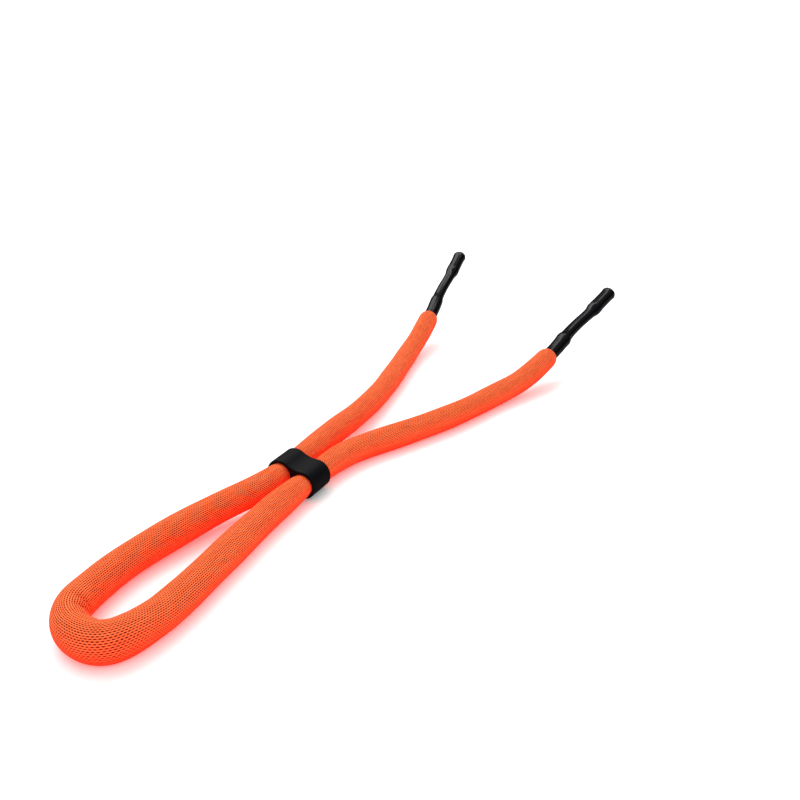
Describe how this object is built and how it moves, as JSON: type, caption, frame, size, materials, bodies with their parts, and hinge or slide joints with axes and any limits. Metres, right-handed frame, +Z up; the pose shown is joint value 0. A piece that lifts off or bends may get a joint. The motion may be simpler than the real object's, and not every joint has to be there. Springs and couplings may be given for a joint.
{
  "type": "eyeglass_retainer_strap",
  "caption": "Padded knit eyeglass retainer strap with a sliding two-hole rubber keeper and a stretchy rubber temple sleeve at each end",
  "frame": {"origin": "Middle of the bounding box in plan, on the surface the strap lies on.", "axes": "+Y runs from the folded loop towards the temple sleeves; the slider travels 4 degrees off it. +Z is up from the surface; +X completes a right-handed frame and points to the strap's right leg."},
  "size_m": [0.1044, 0.3409, 0.0357],
  "materials": {
    "knit_cover": "fine knit with small pits in rows",
    "foam": "closed-cell foam",
    "slider_rubber": "satin",
    "sleeve_rubber": "smooth, slightly glossy",
    "plug_plastic": "moulded",
    "binding_thread": "sewing thread"
  },
  "bodies": {
    "root": {"strap_cover": "knit_cover", "foam_core": "foam", "left_temple_sleeve": "sleeve_rubber", "right_temple_sleeve": "sleeve_rubber", "left_end_plug": "plug_plastic", "right_end_plug": "plug_plastic", "left_end_binding": "binding_thread", "right_end_binding": "binding_thread"},
    "slider": {"slider": "slider_rubber"}
  },
  "joints": [
    {"name": "slider_slide", "type": "slide", "parent": "root", "child": "slider", "axis": [-0.0698, 0.9976, 0], "range_m": [-0.04, 0.06], "deforming": ["strap_cover", "foam_core"]}
  ]
}
